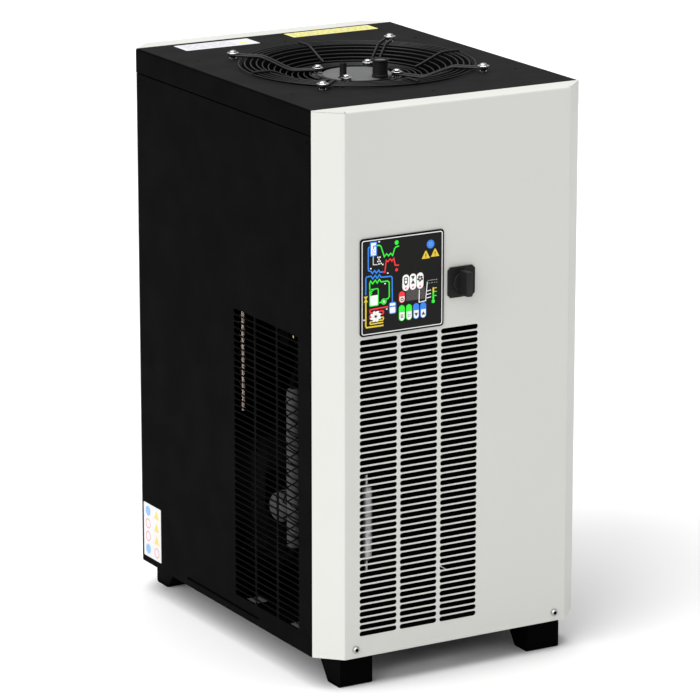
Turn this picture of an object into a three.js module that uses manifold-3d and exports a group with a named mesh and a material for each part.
// Refrigerated compressed-air dryer: a free-standing cabinet with a slotted front, an axial fan under a
// wire guard in its top, a membrane control panel and a rotary main switch.
// Millimetres, +Z up. The front faces -Y, and +X is to the right when it is seen from the front.
// The origin is on the floor, under the middle of the cabinet.

import * as THREE from 'three';
import { mergeGeometries, mergeVertices } from 'three/addons/utils/BufferGeometryUtils.js';
import Module from 'manifold-3d';

const wasm = await Module();
wasm.setup();

// ---------------------------------------------------------------- driving dimensions

const WIDTH = 450; // over the side panels
const DEPTH = 610; // over the front and rear panels
const TOP = 860; // upper face of the cover
const FOOT_HEIGHT = 48;
const PAN_DEPTH = 35.5; // the front and rear panels are bevelled pans of this depth
const SKIRT = 36; // side skirt of the cover
const SHEET = 1.5;
const GAP = 0.4; // between pieces that rest on each other
const STANDOFF = 26; // the switch handle and the pipe sockets stand out this far

const HALF_W = WIDTH / 2;
const HALF_D = DEPTH / 2;
const SIDE_D = HALF_D - PAN_DEPTH; // the side panels end here, front and rear
const BEVEL_X = HALF_W - PAN_DEPTH; // the pan's bevels start here
const COVER_UNDER = TOP - SHEET;
const SKIRT_Z = TOP - SKIRT;
const LIP = 14; // folded edge of a panel

const GRILLE = { rows: 45, height: 7.6 };
const FRONT_SLOTS = { width: 63, centres: [-133.3, -65.5, 2.3], firstZ: 83.5, pitch: 9.955 };
const SIDE_SLOTS = { width: 62.4, centres: [-201.2, -134.8, -68.4], firstZ: 82.8, pitch: 9.9 };

const FAN = { x: 0, y: -12, openingR: 172, boreR: 153, tipR: 150, blades: 7 };
const GUARD = {
  rings: 7, outerR: 176, pitch: 17.6, wireR: 1.9, rimR: 148, lowR: 100, hubR: 61, screw: 136, hubScrew: 43,
};
const GUARD_TOP = TOP + 6; // centre of the spokes at the rim
const GUARD_LOW = TOP - 12.5; // centre of the spokes at the bottom of the dish
const GUARD_HUB = TOP - 9.6; // centre of the spokes at the hub
const MOTOR_TOP = 848;
const MOTOR_R = 52;
const ROTOR_Z = 782; // underside of the rotor's drum
const DRUM_HEIGHT = 48;

const PANEL_PLATE = { x0: -165.3, x1: -26.3, z0: 530.6, z1: 674 };
const KEY = { width: 10, height: 23.5, x: -96.3, z: 558, pitch: 11.9, travelRoom: 1 };
const POWER_KEY = { x: -96.3, z: 581.6, height: 17 };
const DISPLAY = { x0: -90, x1: -57, z0: 574, z1: 593 };
const SWITCH = { x: 3.3, z: 592.4, size: 46, holeR: 12 };

const FOOT = { leftX: -189, rightX: 134.5, width: 54.5, endY: 290, bottomDepth: 35.5, topDepth: 70, wall: 2 };
const PANEL_SCREW = { x: 171, z: 61, holeR: 3.4 }; // the two screws low on the front panel
const COVER_HOLES = [[-189, -153], [-189, 135], [189, -153], [189, 135], [0, -231], [0, 207]];
const FLOOR_PLATE = { halfX: 219, halfY: 263.5, under: FOOT_HEIGHT, upper: FOOT_HEIGHT + 2 };
const PORTS = { z: 620, inletX: 55, outletX: 150, pipeR: 24, socketR: 30 };
const CABLE_ENTRY = { x: -150, z: 640, holeR: 11 };
const DRAIN = { x: -150, z: 100, holeR: 9 };
const COMPRESSOR = { x: -100, y: 120, r: 82, z0: 85, z1: 300, mount: 72 };
const SEPARATOR = { x: 120, y: -25, r: 30, z0: 165, z1: 430 };
const DRIER = { x: -129.3, y: -262, r: 9, z0: 180, z1: 295 };
const RECEIVER = { x: -62, y: -180, r: 37, z0: 70, z1: 270 };
const CONDENSER = { under: 694, upper: 746 };
// upright foam-covered length of the suction line
const LAGGING = { x: -165, y: -111, r: 13, z0: 164, z1: 409 };
const ELECTRICAL_BOX = { z0: 545, z1: 682 };

// ---------------------------------------------------------------- solids

function signedVolume(position, index) {
  const a = new THREE.Vector3();
  const b = new THREE.Vector3();
  const c = new THREE.Vector3();
  let volume = 0;
  for (let i = 0; i < index.count; i += 3) {
    a.fromBufferAttribute(position, index.getX(i));
    b.fromBufferAttribute(position, index.getX(i + 1));
    c.fromBufferAttribute(position, index.getX(i + 2));
    volume += a.dot(b.cross(c)) / 6;
  }
  return volume;
}

// A closed three.js geometry as a solid, with its faces pointing out.
function toSolid(geometry) {
  const bare = geometry.clone();
  bare.deleteAttribute('normal');
  bare.deleteAttribute('uv');
  const merged = mergeVertices(bare, 1e-3);
  const triVerts = new Uint32Array(merged.index.array);
  if (signedVolume(merged.attributes.position, merged.index) < 0) {
    for (let i = 0; i < triVerts.length; i += 3) {
      [triVerts[i], triVerts[i + 1]] = [triVerts[i + 1], triVerts[i]];
    }
  }
  const vertProperties = new Float32Array(merged.attributes.position.array);
  return new wasm.Manifold(new wasm.Mesh({ numProp: 3, vertProperties, triVerts }));
}

function toGeometry(solid) {
  const mesh = solid.getMesh();
  const geometry = new THREE.BufferGeometry();
  geometry.setAttribute('position', new THREE.BufferAttribute(mesh.vertProperties, 3));
  geometry.setIndex(new THREE.BufferAttribute(mesh.triVerts, 1));
  geometry.computeVertexNormals();
  return geometry;
}

function join(...solids) {
  return solids.reduce((sum, next) => sum.add(next));
}

function cut(solid, ...tools) {
  return tools.reduce((rest, tool) => rest.subtract(tool), solid);
}

function boxGeometry(x0, x1, y0, y1, z0, z1) {
  const geometry = new THREE.BoxGeometry(x1 - x0, y1 - y0, z1 - z0);
  return geometry.translate((x0 + x1) / 2, (y0 + y1) / 2, (z0 + z1) / 2);
}

function box(x0, x1, y0, y1, z0, z1) {
  return toSolid(boxGeometry(x0, x1, y0, y1, z0, z1));
}

// Turns geometry built along +Z so that it lies along the named axis.
function along(axis, geometry) {
  if (axis === 'x') return geometry.rotateY(Math.PI / 2);
  if (axis === 'y') return geometry.rotateX(-Math.PI / 2);
  return geometry;
}

// A turned piece: profile holds [radius, distance along the axis] pairs, and starts and ends on the axis
// or closes on itself. at is the point where the distance is 0.
function turned(axis, at, profile, sides) {
  const points = profile.map(([r, d]) => new THREE.Vector2(r, d));
  const geometry = new THREE.LatheGeometry(points, sides).rotateX(Math.PI / 2);
  return toSolid(along(axis, geometry).translate(...at));
}

function rod(axis, at, radius, length, sides = 16) {
  return turned(axis, at, [[0, 0], [radius, 0], [radius, length], [0, length]], sides);
}

function ring(axis, at, innerR, outerR, length, sides) {
  const profile = [[innerR, 0], [outerR, 0], [outerR, length], [innerR, length], [innerR, 0]];
  return turned(axis, at, profile, sides);
}

// A shape drawn in (x, y), extruded from z0 to z1.
function prismZ(shape, z0, z1) {
  const geometry = new THREE.ExtrudeGeometry(shape, { depth: z1 - z0, bevelEnabled: false });
  return toSolid(geometry.translate(0, 0, z0));
}

// A shape drawn in (x, z), extruded from y0 to y1.
function prismY(shape, y0, y1) {
  const geometry = new THREE.ExtrudeGeometry(shape, { depth: y1 - y0, bevelEnabled: false });
  return toSolid(geometry.rotateX(Math.PI / 2).translate(0, y1, 0));
}

function outline(points) {
  return new THREE.Shape(points.map(([u, v]) => new THREE.Vector2(u, v)));
}

// The cross-section of sheet metal folded along a line of points, with mitred corners. The line is the
// middle of the sheet.
function foldedSheet(points, thickness = SHEET) {
  const line = points.map(([u, v]) => new THREE.Vector2(u, v));
  const normals = line.slice(1).map((point, i) => {
    const step = point.clone().sub(line[i]).normalize();
    return new THREE.Vector2(-step.y, step.x);
  });
  const offset = (side) => line.map((point, i) => {
    const before = normals[Math.max(i - 1, 0)];
    const after = normals[Math.min(i, normals.length - 1)];
    const mitre = before.clone().add(after).normalize();
    return point.clone().addScaledVector(mitre, (side * thickness) / 2 / mitre.dot(after));
  });
  return new THREE.Shape([...offset(1), ...offset(-1).reverse()]);
}

// A round bar or pipe along a smooth curve through the points.
function pipe(points, radius, steps = 16, sides = 8) {
  const curve = new THREE.CatmullRomCurve3(points.map((p) => new THREE.Vector3(...p)), false, 'centripetal');
  const section = new THREE.Shape();
  for (let i = 0; i < sides; i += 1) {
    const angle = (2 * Math.PI * i) / sides;
    const corner = [radius * Math.cos(angle), radius * Math.sin(angle)];
    if (i === 0) section.moveTo(...corner);
    else section.lineTo(...corner);
  }
  return toSolid(new THREE.ExtrudeGeometry(section, { steps, extrudePath: curve, bevelEnabled: false }));
}

// ---------------------------------------------------------------- the assembly

const dryer = new THREE.Group();

const FINISH = {
  offWhite: { color: 0xdcdcd6, roughness: 0.5, metalness: 0.1 },
  black: { color: 0x181818, roughness: 0.6, metalness: 0.1 },
  wire: { color: 0x2c2c2e, roughness: 0.5, metalness: 0.3 },
  steel: { color: 0xb8babc, roughness: 0.35, metalness: 0.9 },
  castGrey: { color: 0x85878a, roughness: 0.55, metalness: 0.4 },
  plastic: { color: 0x202022, roughness: 0.6, metalness: 0 },
  rubber: { color: 0x141414, roughness: 0.9, metalness: 0 },
  copper: { color: 0xb8714a, roughness: 0.3, metalness: 0.95 },
  brass: { color: 0xc2a05a, roughness: 0.3, metalness: 0.9 },
  aluminium: { color: 0xa8acb0, roughness: 0.4, metalness: 0.85 },
  foam: { color: 0x2e3032, roughness: 0.95, metalness: 0 },
  panelFilm: { color: 0x232323, roughness: 0.4, metalness: 0 },
  displayRed: { color: 0x3a0c0c, roughness: 0.15, metalness: 0 },
  keyRed: { color: 0xc8242c, roughness: 0.45, metalness: 0 },
  keyGreen: { color: 0x2ea04a, roughness: 0.45, metalness: 0 },
  keyBlue: { color: 0x2566c8, roughness: 0.45, metalness: 0 },
};

function place(name, solid, finish, parent = dryer) {
  const mesh = new THREE.Mesh(toGeometry(solid), new THREE.MeshStandardMaterial(FINISH[finish]));
  mesh.name = name;
  parent.add(mesh);
  return mesh;
}

// ---------------------------------------------------------------- cabinet

// The slots of a grille as one set of separate boxes, made by slotBox(column centre, low z, high z).
function grilleSlots({ centres, firstZ, pitch }, slotBox) {
  const boxes = [];
  for (const centre of centres) {
    for (let row = 0; row < GRILLE.rows; row += 1) {
      const z = firstZ + row * pitch;
      boxes.push(slotBox(centre, z - GRILLE.height / 2, z + GRILLE.height / 2));
    }
  }
  return toSolid(mergeGeometries(boxes));
}

// The bevelled pan that closes the front (facing -Y): folded walls, a flat top flange and a bottom lip.
function bevelledPan() {
  const t = SHEET / 2;
  const edge = HALF_W - GAP - t * (1 + Math.SQRT2);
  const backY = -SIDE_D - t - GAP;
  const bevel = BEVEL_X - t * Math.tan(Math.PI / 8);
  const walls = foldedSheet([
    [-edge + LIP, backY], [-edge, backY], [-bevel, -HALF_D + t],
    [bevel, -HALF_D + t], [edge, backY], [edge - LIP, backY],
  ]);
  const top = outline([
    [-HALF_W + GAP, -SIDE_D - GAP], [-BEVEL_X, -HALF_D],
    [BEVEL_X, -HALF_D], [HALF_W - GAP, -SIDE_D - GAP],
  ]);
  const lip = box(-BEVEL_X, BEVEL_X, -HALF_D + t, -HALF_D + LIP - 1, FOOT_HEIGHT, FOOT_HEIGHT + SHEET);
  return join(prismZ(walls, FOOT_HEIGHT, COVER_UNDER + t), prismZ(top, COVER_UNDER, TOP), lip);
}

function frontPanel() {
  const through = [-HALF_D - 5, -HALF_D + 5];
  const slots = grilleSlots(FRONT_SLOTS, (x, z0, z1) => (
    boxGeometry(x - FRONT_SLOTS.width / 2, x + FRONT_SLOTS.width / 2, ...through, z0, z1)));
  const windowEdge = 10;
  const panelWindow = box(
    PANEL_PLATE.x0 + windowEdge, PANEL_PLATE.x1 - windowEdge, ...through,
    PANEL_PLATE.z0 + windowEdge, PANEL_PLATE.z1 - windowEdge,
  );
  const switchHole = rod('y', [SWITCH.x, -HALF_D - 5, SWITCH.z], SWITCH.holeR, 10);
  const screwHoles = [-1, 1].map((side) => (
    rod('y', [side * PANEL_SCREW.x, -HALF_D - 5, PANEL_SCREW.z], PANEL_SCREW.holeR, 10, 8)));
  return cut(bevelledPan(), slots, panelWindow, switchHole, ...screwHoles);
}

function rearPanel() {
  const holes = [
    rod('y', [PORTS.inletX, -HALF_D - 5, PORTS.z], PORTS.pipeR + 5, 10, 14),
    rod('y', [PORTS.outletX, -HALF_D - 5, PORTS.z], PORTS.pipeR + 5, 10, 14),
    rod('y', [CABLE_ENTRY.x, -HALF_D - 5, CABLE_ENTRY.z], CABLE_ENTRY.holeR, 10, 12),
    rod('y', [DRAIN.x, -HALF_D - 5, DRAIN.z], DRAIN.holeR, 10, 12),
  ];
  // The pan faces -Y, so it is mirrored to face +Y: its holes are given as seen from the front.
  return cut(bevelledPan(), ...holes).mirror([0, 1, 0]);
}

function sidePanel(side, tools) {
  const t = SHEET / 2;
  const endY = SIDE_D - t;
  const walls = foldedSheet([
    [side * (HALF_W - LIP), -endY], [side * (HALF_W - t), -endY],
    [side * (HALF_W - t), endY], [side * (HALF_W - LIP), endY],
  ]);
  return cut(prismZ(walls, FOOT_HEIGHT, SKIRT_Z - 2), ...tools);
}

function leftSideTools() {
  const through = [-HALF_W - 5, -HALF_W + 5];
  const slots = grilleSlots(SIDE_SLOTS, (y, z0, z1) => (
    boxGeometry(...through, y - SIDE_SLOTS.width / 2, y + SIDE_SLOTS.width / 2, z0, z1)));
  const drainSlot = box(...through, -110.7, 117.5, 58.6, 62);
  return [slots, drainSlot];
}

function topCover() {
  const t = SHEET / 2;
  const section = foldedSheet([
    [-HALF_W + t, SKIRT_Z], [-HALF_W + t, TOP - t], [HALF_W - t, TOP - t], [HALF_W - t, SKIRT_Z],
  ]);
  const sheet = prismY(section, -SIDE_D + GAP, SIDE_D - GAP);
  const opening = rod('z', [FAN.x, FAN.y, TOP - 10], FAN.openingR, 20, 32);
  const screwHoles = guardCorners(GUARD.screw).map(([x, y]) => rod('z', [x, y, TOP - 5], 3.4, 10, 8));
  const rimHoles = COVER_HOLES.map(([x, y]) => rod('z', [x, y, TOP - 5], 2.5, 10, 6));
  return cut(sheet, opening, ...screwHoles, ...rimHoles);
}

function basePan() {
  const { halfX, halfY, under, upper } = FLOOR_PLATE;
  const wall = 2;
  const tray = box(-halfX, halfX, -halfY, halfY, under, under + 26);
  const hollow = box(-halfX + wall, halfX - wall, -halfY + wall, halfY - wall, upper, under + 30);
  const vents = [[-168, -1], [-168, -136], [168, -1], [168, -136]]
    .map(([x, y]) => box(x - 12, x + 12, y - 16, y + 16, under - 5, upper + 5));
  return cut(tray, hollow, ...vents);
}

// A folded foot, open on top where the base closes it. endY is its vertical outer face and inward is the
// direction of its slanted face.
function foot(x0, endY, inward) {
  const { width, bottomDepth, topDepth, wall } = FOOT;
  const top = FOOT_HEIGHT - GAP;
  const trapezoid = (edge, z0, z1) => outline([
    [endY + inward * edge, z0], [endY + inward * (bottomDepth - edge), z0],
    [endY + inward * (topDepth - edge * 1.6), z1], [endY + inward * edge, z1],
  ]);
  const extrudeX = (shape, from, to) => {
    const geometry = new THREE.ExtrudeGeometry(shape, { depth: to - from, bevelEnabled: false });
    return toSolid(geometry.rotateX(Math.PI / 2).rotateZ(Math.PI / 2).translate(from, 0, 0));
  };
  const outer = extrudeX(trapezoid(0, 0, top), x0, x0 + width);
  const inner = extrudeX(trapezoid(wall, wall, top + 1), x0 + wall, x0 + width - wall);
  return cut(outer, inner);
}

function cornerPost(sideX, sideY) {
  const outerX = sideX * (HALF_W - 3);
  const outerY = sideY * (SIDE_D - 3);
  const leg = 26;
  const angle = [[outerX - sideX * leg, outerY], [outerX, outerY], [outerX, outerY - sideY * leg]];
  const section = foldedSheet(angle, 2);
  return prismZ(section, FLOOR_PLATE.under + 1, COVER_UNDER - GAP);
}

function buildCabinet() {
  place('base_pan', basePan(), 'black');
  place('front_panel', frontPanel(), 'offWhite');
  place('rear_panel', rearPanel(), 'offWhite');
  place('left_side_panel', sidePanel(-1, leftSideTools()), 'black');
  place('right_side_panel', sidePanel(1, []), 'black');
  place('top_cover', topCover(), 'black');
  for (const [sideName, x0] of [['left', FOOT.leftX], ['right', FOOT.rightX]]) {
    place(`foot_front_${sideName}`, foot(x0, -FOOT.endY, 1), 'black');
    place(`foot_rear_${sideName}`, foot(x0, FOOT.endY, -1), 'black');
  }
  for (const [sideName, sideX] of [['left', -1], ['right', 1]]) {
    place(`corner_post_front_${sideName}`, cornerPost(sideX, -1), 'steel');
    place(`corner_post_rear_${sideName}`, cornerPost(sideX, 1), 'steel');
    const head = [[0, 0], [2.6, 0], [2.6, 9.5], [5, 9.5], [4.2, 12], [2, 12.8], [0, 12.8]];
    const at = [sideX * PANEL_SCREW.x, -HALF_D + 9.1, PANEL_SCREW.z];
    const screw = turned('y', at, head.map(([r, d]) => [r, -d]), 12);
    place(`front_panel_screw_${sideName}`, screw, 'steel');
  }
}

// ---------------------------------------------------------------- fan

function guardCorners(offset) {
  return [[-1, -1], [1, -1], [1, 1], [-1, 1]].map(([sx, sy]) => [FAN.x + sx * offset, FAN.y + sy * offset]);
}

// Height of the guard's spokes at a radius: flat at the rim, dished, and rising a little to the hub.
function guardHeight(r) {
  const { mapLinear } = THREE.MathUtils;
  if (r >= GUARD.rimR) return GUARD_TOP;
  if (r >= GUARD.lowR) return mapLinear(r, GUARD.lowR, GUARD.rimR, GUARD_LOW, GUARD_TOP);
  return mapLinear(r, GUARD.hubR, GUARD.lowR, GUARD_HUB, GUARD_LOW);
}

// A ring welded under the spokes.
function guardRing(r) {
  const sides = Math.max(12, 4 * Math.round(r / 36));
  const side = GUARD.wireR * 0.9;
  const drop = 2 * GUARD.wireR - 0.9;
  return ring('z', [FAN.x, FAN.y, guardHeight(r) - drop - side], r - side, r + side, 2 * side, sides);
}

// A flat spoke over the rings at an angle, between two radii.
function spoke(angle, width, fromR, toR) {
  const radii = [fromR, ...[GUARD.lowR, GUARD.rimR].filter((r) => r > fromR && r < toR), toR];
  const profile = foldedSheet(radii.map((r) => [r, guardHeight(r)]), 2 * GUARD.wireR);
  const geometry = new THREE.ExtrudeGeometry(profile, { depth: width, bevelEnabled: false });
  geometry.translate(0, 0, -width / 2).rotateX(Math.PI / 2).rotateZ(angle);
  return toSolid(geometry.translate(FAN.x, FAN.y, 0));
}

const EAR_TOP = GUARD_HUB - 6; // upper face of the motor's ears, under the hub eyelets

function fanGuard() {
  const rings = [];
  for (let i = 0; i < GUARD.rings; i += 1) rings.push(guardRing(GUARD.outerR - i * GUARD.pitch));
  const spokes = [];
  const eyelets = [];
  for (let i = 0; i < 4; i += 1) {
    const diagonal = Math.PI / 4 + (i * Math.PI) / 2;
    spokes.push(spoke(diagonal, 13, 65, 187));
    spokes.push(spoke((i * Math.PI) / 2, 2 * GUARD.wireR, GUARD.lowR, 177));
  }
  // each eyelet is a loop at the end of a spoke, on a spacer
  const loopHeight = 2 * GUARD.wireR;
  for (const [x, y] of guardCorners(GUARD.screw)) {
    const loopZ = GUARD_TOP - GUARD.wireR;
    eyelets.push(ring('z', [x, y, loopZ], 3.4, 9, loopHeight, 12));
    eyelets.push(ring('z', [x, y, TOP + GAP], 3.4, 6.4, loopZ - TOP, 12));
  }
  for (const [x, y] of guardCorners(GUARD.hubScrew)) {
    const loopZ = GUARD_HUB - GUARD.wireR;
    eyelets.push(ring('z', [x, y, loopZ], 3, 8, loopHeight, 12));
    eyelets.push(ring('z', [x, y, EAR_TOP + GAP], 3, 6, loopZ - EAR_TOP, 12));
  }
  return join(...rings, ...spokes, ...eyelets);
}

// Motor end with its disc, four ears under the guard's eyelets and a small stub.
function fanMotor() {
  const disc = rod('z', [FAN.x, FAN.y, MOTOR_TOP - 14], MOTOR_R, 14, 28);
  const earThickness = 5;
  const ears = [Math.PI / 4, -Math.PI / 4].map((angle) => {
    const strap = new THREE.BoxGeometry(140, 18, earThickness).rotateZ(angle);
    return toSolid(strap.translate(FAN.x, FAN.y, EAR_TOP - earThickness / 2));
  });
  const core = rod('z', [FAN.x, FAN.y, 812], 30, 26, 20);
  const stub = rod('z', [FAN.x - 35.5, FAN.y - 20, MOTOR_TOP - 2], 5.2, 25, 10);
  const holes = guardCorners(GUARD.hubScrew).map(([x, y]) => rod('z', [x, y, 820], 2.6, 40, 6));
  return cut(join(disc, ...ears, core, stub), ...holes);
}

function motorGland() {
  const profile = [
    [0, 0], [12, 0], [12, 4], [11.4, 4], [11.4, 23.8], [12.9, 24.2], [12.9, 26.2], [12, 26.8], [9.4, 26.8],
    [9.4, 24.8], [0, 24.8],
  ];
  return turned('z', [FAN.x + 15, FAN.y - 42, MOTOR_TOP + GAP], profile, 16);
}

// A swept blade: a twisted strip from the rotor's drum to the tip radius.
function fanBlade(angle) {
  const rootR = 58;
  const strips = 4;
  const thickness = 2.4;
  const rows = [];
  for (let i = 0; i <= strips; i += 1) {
    const share = i / strips;
    const r = THREE.MathUtils.lerp(rootR, FAN.tipR, share);
    const sweep = angle + 0.55 * share * share;
    const chord = THREE.MathUtils.lerp(62, 96, share);
    const pitchAngle = THREE.MathUtils.lerp(0.62, 0.36, share);
    const half = chord / 2;
    const turn = (half * Math.cos(pitchAngle)) / r;
    const rise = half * Math.sin(pitchAngle);
    rows.push([
      [r * Math.cos(sweep - turn), r * Math.sin(sweep - turn), -rise],
      [r * Math.cos(sweep + turn), r * Math.sin(sweep + turn), rise],
    ]);
  }
  const vertices = [];
  for (const lift of [0, thickness]) {
    for (const row of rows) {
      for (const [x, y, z] of row) vertices.push(FAN.x + x, FAN.y + y, ROTOR_Z + DRUM_HEIGHT / 2 + z + lift);
    }
  }
  const upper = 2 * rows.length;
  const index = [];
  const quad = (a, b, c, d) => index.push(a, b, c, a, c, d);
  for (let i = 0; i < strips; i += 1) {
    const a = 2 * i;
    quad(a, a + 1, a + 3, a + 2);
    quad(upper + a + 2, upper + a + 3, upper + a + 1, upper + a);
    quad(a + 2, upper + a + 2, upper + a, a);
    quad(a + 1, upper + a + 1, upper + a + 3, a + 3);
  }
  const last = 2 * strips;
  quad(0, upper, upper + 1, 1);
  quad(last + 1, upper + last + 1, upper + last, last);
  const geometry = new THREE.BufferGeometry();
  geometry.setAttribute('position', new THREE.Float32BufferAttribute(vertices, 3));
  geometry.setIndex(index);
  return toSolid(geometry);
}

// External-rotor drum, a cup open to the top, with its blades.
function fanRotor() {
  const drum = turned('z', [FAN.x, FAN.y, ROTOR_Z], [
    [0, 0], [60, 0], [60, DRUM_HEIGHT], [56, DRUM_HEIGHT], [56, 4], [33, 4], [33, 6], [0, 6],
  ], 28);
  const blades = [];
  for (let i = 0; i < FAN.blades; i += 1) blades.push(fanBlade((2 * Math.PI * i) / FAN.blades));
  return join(drum, ...blades);
}

function fanShroud() {
  const flangeZ = COVER_UNDER - GAP;
  const lowZ = ROTOR_Z + 4;
  const t = 2;
  const profile = [
    [FAN.openingR + 10, flangeZ], [FAN.openingR + 10, flangeZ - t], [FAN.openingR - 4, flangeZ - t],
    [160, flangeZ - 9], [155 + t, flangeZ - 20], [FAN.boreR + t, lowZ], [FAN.boreR, lowZ],
    [155, flangeZ - 21], [158, flangeZ - 8.5], [FAN.openingR - 5, flangeZ], [FAN.openingR + 10, flangeZ],
  ];
  return turned('z', [FAN.x, FAN.y, 0], profile, 24);
}

function guardScrew() {
  const seat = GUARD_TOP + GUARD.wireR + GAP - TOP;
  return [
    [0, -10], [2.6, -10], [2.6, seat], [8.6, seat], [8.6, seat + 1.4], [5.4, seat + 1.4], [5.4, seat + 3.4],
    [3, seat + 4.6], [0, seat + 4.6],
  ];
}

function buildFan() {
  place('fan_shroud', fanShroud(), 'black');
  place('fan_guard', fanGuard(), 'wire');
  place('fan_motor', fanMotor(), 'castGrey');
  place('motor_cable_gland', motorGland(), 'plastic');
  place('fan_rotor', fanRotor(), 'black');
  const names = ['front_left', 'front_right', 'rear_right', 'rear_left'];
  guardCorners(GUARD.screw).forEach(([x, y], i) => {
    place(`guard_screw_${names[i]}`, turned('z', [x, y, TOP], guardScrew(), 12), 'steel');
  });
}

// ---------------------------------------------------------------- controls

const KEYS = [
  { name: 'key_power', finish: 'keyRed', x: POWER_KEY.x, z: POWER_KEY.z, height: POWER_KEY.height },
  ...['key_menu', 'key_test', 'key_down', 'key_up'].map((name, i) => ({
    name, finish: i < 2 ? 'keyGreen' : 'keyBlue', x: KEY.x + i * KEY.pitch, z: KEY.z, height: KEY.height,
  })),
];

// A pill-shaped outline in (x, z), grown by margin all round.
function pill(key, margin) {
  const r = KEY.width / 2 + margin;
  const straight = (key.height - KEY.width) / 2;
  const points = [];
  for (let i = 0; i <= 6; i += 1) {
    const angle = (Math.PI * i) / 6;
    points.push([key.x + r * Math.cos(angle), key.z + straight + r * Math.sin(angle)]);
  }
  for (let i = 0; i <= 6; i += 1) {
    const angle = Math.PI + (Math.PI * i) / 6;
    points.push([key.x + r * Math.cos(angle), key.z - straight + r * Math.sin(angle)]);
  }
  return outline(points);
}

function roundedRectangle(x0, x1, z0, z1, r) {
  const shape = new THREE.Shape();
  shape.moveTo(x0 + r, z0);
  shape.lineTo(x1 - r, z0);
  shape.absarc(x1 - r, z0 + r, r, -Math.PI / 2, 0);
  shape.lineTo(x1, z1 - r);
  shape.absarc(x1 - r, z1 - r, r, 0, Math.PI / 2);
  shape.lineTo(x0 + r, z1);
  shape.absarc(x0 + r, z1 - r, r, Math.PI / 2, Math.PI);
  shape.lineTo(x0, z0 + r);
  shape.absarc(x0 + r, z0 + r, r, Math.PI, 1.5 * Math.PI);
  const points = shape.getPoints(3);
  points.pop();
  return new THREE.Shape(points);
}

const PLATE_BACK = -HALF_D - GAP; // rear face of the plates that lie on the front panel
const PLATE_FRONT = PLATE_BACK - 1.6; // front face of the membrane panel

function controlPanel() {
  const { x0, x1, z0, z1 } = PANEL_PLATE;
  const plate = prismY(roundedRectangle(x0, x1, z0, z1, 5), PLATE_FRONT, PLATE_BACK);
  const edge = 12;
  const housing = box(x0 + edge, x1 - edge, PLATE_BACK - 0.2, -HALF_D + 42, z0 + edge, z1 - edge);
  const pocketDepth = 1.8 + GAP + KEY.travelRoom;
  const pockets = KEYS.map((key) => prismY(pill(key, GAP), PLATE_FRONT - 1, PLATE_FRONT + pocketDepth));
  const screen = box(DISPLAY.x0, DISPLAY.x1, PLATE_FRONT - 1, PLATE_FRONT + 2, DISPLAY.z0, DISPLAY.z1);
  return cut(join(plate, housing), ...pockets, screen);
}

function buildControls() {
  place('control_panel', controlPanel(), 'panelFilm');
  const m = GAP;
  const screen = box(
    DISPLAY.x0 + m, DISPLAY.x1 - m, PLATE_FRONT + 0.2, PLATE_FRONT + 2 - m, DISPLAY.z0 + m, DISPLAY.z1 - m,
  );
  place('display_window', screen, 'displayRed');
  for (const key of KEYS) {
    place(key.name, prismY(pill(key, 0), PLATE_FRONT - 0.4, PLATE_FRONT + 1.4), key.finish);
  }
  buildSwitch();
}

// A square base plate with the switch behind it, and a bar handle that turns on it.
function buildSwitch() {
  const { x, z, size } = SWITCH;
  const half = size / 2;
  const plateThickness = 3;
  const plateFront = PLATE_BACK - plateThickness;
  const neck = rod('y', [x, PLATE_BACK - 1, z], SWITCH.holeR - 1.5, 12);
  const body = box(x - 20, x + 20, -HALF_D + 8, -HALF_D + 42, z - 20, z + 20);
  const plate = prismY(roundedRectangle(x - half, x + half, z - half, z + half, 7), plateFront, PLATE_BACK);
  place('main_switch_base', join(plate, neck, body), 'plastic');

  const handleBack = plateFront - GAP;
  const collar = rod('y', [x, handleBack - 2, z], 14, 2, 24);
  const bar = prismY(roundedRectangle(x - 5, x + 5, z - 19, z + 19, 1.5), -HALF_D - STANDOFF, handleBack);
  place('main_switch_handle', join(collar, bar), 'plastic');
}

// ---------------------------------------------------------------- air circuit

// Steel pipe from a threaded socket at the rear down into the top of the heat exchanger.
function airPipe(x) {
  const socketLength = 40;
  const bend = pipe([
    [x, HALF_D - 10, PORTS.z], [x, 200, PORTS.z], [x, 168, PORTS.z - 4],
    [x, 148, PORTS.z - 22], [x, 146, PORTS.z - 40], [x, 146, 561 + GAP],
  ], PORTS.pipeR, 9, 10);
  const socket = rod('y', [x, HALF_D + STANDOFF - socketLength, PORTS.z], PORTS.socketR, socketLength, 18);
  const neck = rod('y', [x, HALF_D - 40, PORTS.z], PORTS.pipeR + 0.5, 45, 18);
  const panelRecess = ring('y', [x, HALF_D - 15, PORTS.z], PORTS.pipeR + 0.5, 40, 20, 18);
  const throughPanel = cut(join(socket, neck), panelRecess);
  const bore = rod('y', [x, HALF_D - 20, PORTS.z], 20.5, STANDOFF + 30, 16);
  return cut(join(bend, throughPanel), bore);
}

function heatExchanger() {
  const block = box(20, 192, 12, 215, 130, 560);
  const foamSplit = 2;
  const seams = [
    box(10, 200, 112, 112 + foamSplit, 120, 134),
    box(10, 200, 112, 112 + foamSplit, 556, 570),
  ];
  return cut(block, ...seams);
}

function moistureSeparator() {
  const { x, y, r, z0, z1 } = SEPARATOR;
  const length = z1 - z0;
  const profile = [
    [0, 0], [10, 0], [r - 8, 8], [r, 22], [r, length - 30], [r + 3, length - 30], [r + 3, length - 8],
    [r - 6, length], [0, length],
  ];
  return turned('z', [x, y, z0], profile, 20);
}

function drainValve() {
  const { x, y } = SEPARATOR;
  const body = box(x - 14, x + 14, y - 14, y + 14, 96, 124);
  const inlet = rod('z', [x, y, 123], 7, SEPARATOR.z0 - 123 - GAP, 12);
  const coil = rod('x', [x + 13, y, 110], 16, 36, 16);
  return join(body, inlet, coil);
}

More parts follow.
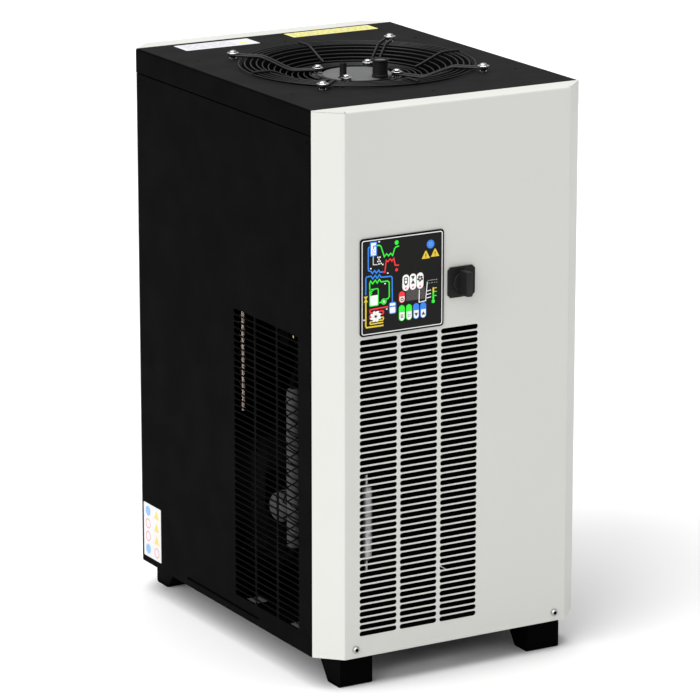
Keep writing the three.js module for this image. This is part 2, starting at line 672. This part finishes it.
const DRAIN_START = 262; // inner end of the drain outlet

function drainLine() {
  const { x, y } = SEPARATOR;
  return pipe([
    [x - 14 - GAP, y, 110], [x - 26, y, 110], [20, y - 2, 72], [2, y + 14, 66], [2, 60, 66], [2, 200, 66],
    [-14, 236, 66], [-60, 242, 68], [-132, 240, 80], [DRAIN.x, 248, DRAIN.z],
    [DRAIN.x, DRAIN_START - GAP, DRAIN.z],
  ], 5, 22, 6);
}

function drainOutlet() {
  const sheet = HALF_D - DRAIN_START; // distance to the rear panel's outer face
  const profile = [
    [0, 0], [6, 0], [6, sheet - 8], [7.5, sheet - 8], [7.5, sheet + 1], [6, sheet + 1], [7, sheet + 8],
    [5.4, sheet + 14], [6.6, sheet + 14], [5, sheet + 24], [3, sheet + 24], [3, 6], [0, 6],
  ];
  return turned('y', [DRAIN.x, DRAIN_START, DRAIN.z], profile, 14);
}

// ---------------------------------------------------------------- refrigeration circuit

function condenserCoil() {
  const { under, upper } = CONDENSER;
  const middle = (under + upper) / 2;
  const block = box(-180, 180, -215, 190, under, upper);
  const plates = [-1, 1].map((side) => (
    box(side * 184 - 4.2, side * 184 + 4.2, -218, 193, under - 8, upper + 8)));
  const bends = [];
  for (const y of [-160, -100, -40, 20, 80, 140]) {
    bends.push(pipe([
      [186, y - 14, middle], [196, y - 12, middle], [202, y, middle],
      [196, y + 12, middle], [186, y + 14, middle],
    ], 4, 6, 6));
  }
  return join(block, ...plates, ...bends);
}

function compressor() {
  const { x, y, r, z0, z1 } = COMPRESSOR;
  const height = z1 - z0;
  const profile = [
    [0, 0], [r - 14, 0], [r - 2, 14], [r - 2, 88], [r, 90], [r, 104], [r - 2, 106], [r - 2, height - 34],
    [r - 14, height - 14], [r - 44, height], [0, height],
  ];
  const shell = turned('z', [x, y, z0], profile, 20);
  const reach = COMPRESSOR.mount + 14;
  const plate = box(x - reach, x + reach, y - reach, y + reach, z0 - 3, z0 + 0.5);
  return join(shell, plate);
}

function terminalCover() {
  const { x, y, r } = COMPRESSOR;
  const backY = y - r - GAP;
  return box(x - 32, x + 28, backY - 24, backY, 175, 235);
}

// From the heat exchanger down through a lagged length and its fat foam-covered joint to the compressor.
function suctionLine() {
  const { x, y, r, z0, z1 } = LAGGING;
  const height = z1 - z0;
  const upper = pipe([
    [20 - GAP, 70, 450], [0, 70, 450], [-50, 30, 450], [-110, -40, 446], [-150, -98, 434],
    [x + 2, y + 1, 420], [x, y, z1 - 5],
  ], 6, 16, 6);
  const lagging = turned('z', [x, y, z0], [
    [0, 0], [r - 4, 0], [r, 5], [r, height - 12], [r - 3, height - 2], [0, height],
  ], 14);
  const joint = turned('x', [-180, -86, 221.5], [
    [0, -6], [18, -4], [25, 4], [26, 15], [25, 26], [18, 34], [0, 36],
  ], 16);
  const lower = pipe([
    [x, y, z0 + 4], [-165, -97, 146], [-168, -30, 130], [-182, 20, 130], [-178, 45.6, 130],
    [-159.9, 62.9, 130],
  ], 6, 16, 6);
  return join(upper, lagging, joint, lower);
}

function dischargeLine() {
  return pipe([
    [-140, 92, COMPRESSOR.z1 - 1], [-140, 92, 310], [-158, 60, 326], [-165, 47.8, 341], [-165, 47.8, 430],
    [-165, 47.8, 516], [-165, 44, 640], [-152, 40, 672], [-150, 40, 683], [-150, 40, CONDENSER.under - GAP],
  ], 5.4, 18, 6);
}

function liquidLine() {
  const { x, y, r, z0 } = RECEIVER;
  return pipe([
    [-166, -150, CONDENSER.under - GAP], [-166, -150, 684], [-190, -168, 664], [-209, -232, 640],
    [-210, -249, 600], [-210, -249, 400],
    [-210, -249, 200], [-208, -246, 130], [-186, -228, 102], [-140, -205, 98],
    [x - r - GAP - 1, y - 8, z0 + 30],
  ], 4, 18, 6);
}

function liquidReceiver() {
  const { x, y, r, z0, z1 } = RECEIVER;
  const height = z1 - z0;
  const profile = [
    [0, -18], [22, -18], [22, 2], [r - 6, 6], [r, 16], [r, height - 16], [r - 6, height - 6], [12, height],
    [9, height], [9, height + 18], [0, height + 18],
  ];
  return turned('z', [x, y, z0], profile, 20);
}

function filterDrier() {
  const { x, y, r, z0, z1 } = DRIER;
  const length = z1 - z0;
  const profile = [
    [0, -16], [2.6, -16], [2.6, 0], [r - 1.5, 3], [r, 7], [r, length - 7], [r - 1.5, length - 3],
    [2.6, length], [2.6, length + 15], [0, length + 15],
  ];
  return turned('z', [x, y, z0], profile, 14);
}

function expansionValve() {
  const body = box(-177, -153, -116, -92, 474, 496);
  const head = rod('z', [-165, -104, 495.5], 15, 9, 14);
  const stem = rod('y', [-165, -93, 485], 6, 26, 8);
  return join(body, head, stem);
}

// Upright sheet that keeps the two grilles' air apart, under the electrical box.
function airBaffle() {
  const flangeY = -SIDE_D + 5.2;
  const section = foldedSheet([[-188, flangeY], [-203, flangeY], [-127, -130], [-112, -130]]);
  return prismZ(section, 130, ELECTRICAL_BOX.z0 - GAP);
}

function circulatingPump() {
  const motor = rod('x', [-6, -132, 112], 30, 56, 18);
  const volute = rod('x', [-22, -132, 112], 22, 17, 16);
  const stand = box(6, 40, -146, -118, FLOOR_PLATE.upper + GAP, 90);
  const port = rod('z', [-13, -132, 128], 7, 24, 10);
  return join(motor, volute, stand, port);
}

function buildCircuits() {
  place('air_inlet_pipe', airPipe(PORTS.inletX), 'steel');
  place('air_outlet_pipe', airPipe(PORTS.outletX), 'steel');
  place('heat_exchanger', heatExchanger(), 'foam');
  place('thermal_mass_tank', box(62, 196, -214, -62, 110, 400), 'foam');
  place('circulating_pump', circulatingPump(), 'black');
  place('moisture_separator', moistureSeparator(), 'aluminium');
  place('drain_valve', drainValve(), 'brass');
  place('drain_line', drainLine(), 'plastic');
  place('drain_outlet', drainOutlet(), 'brass');

  place('condenser_coil', condenserCoil(), 'aluminium');
  place('compressor', compressor(), 'black');
  place('compressor_terminal_cover', terminalCover(), 'plastic');
  const names = ['front_left', 'front_right', 'rear_right', 'rear_left'];
  [[-1, -1], [1, -1], [1, 1], [-1, 1]].forEach(([sx, sy], i) => {
    const at = [COMPRESSOR.x + sx * COMPRESSOR.mount, COMPRESSOR.y + sy * COMPRESSOR.mount];
    const height = COMPRESSOR.z0 - 3 - FLOOR_PLATE.upper - 2 * GAP;
    const profile = [[0, 0], [13, 0], [11, height / 2], [13, height], [0, height]];
    const mount = turned('z', [...at, FLOOR_PLATE.upper + GAP], profile, 12);
    place(`compressor_mount_${names[i]}`, mount, 'rubber');
  });
  place('suction_line', suctionLine(), 'foam');
  place('discharge_line', dischargeLine(), 'copper');
  place('liquid_line', liquidLine(), 'copper');
  place('liquid_receiver', liquidReceiver(), 'black');
  place('filter_drier', filterDrier(), 'steel');
  place('expansion_valve', expansionValve(), 'brass');
  place('air_baffle', airBaffle(), 'black');
}

// ---------------------------------------------------------------- electrical

function supplyGland() {
  const start = HALF_D - 14;
  const profile = [
    [0, 0], [9.6, 0], [9.6, 12], [9.6, 14 + GAP], [13, 14 + GAP], [13, 22], [11, 23], [11, 34], [6, 34],
    [6, 4], [0, 4],
  ];
  return turned('y', [CABLE_ENTRY.x, start, CABLE_ENTRY.z], profile, 14);
}

function buildElectrics() {
  place('electrical_box', box(-172, 60, -252, -170, ELECTRICAL_BOX.z0, ELECTRICAL_BOX.z1), 'steel');
  place('fan_capacitor', turned('z', [88, -214, 560], [
    [0, -10], [4, -10], [4, 0], [21, 0], [22, 2], [22, 72], [19, 75], [0, 75],
  ], 16), 'plastic');
  place('supply_cable_gland', supplyGland(), 'plastic');
}

buildCabinet();
buildFan();
buildControls();
buildCircuits();
buildElectrics();

export default dryer;
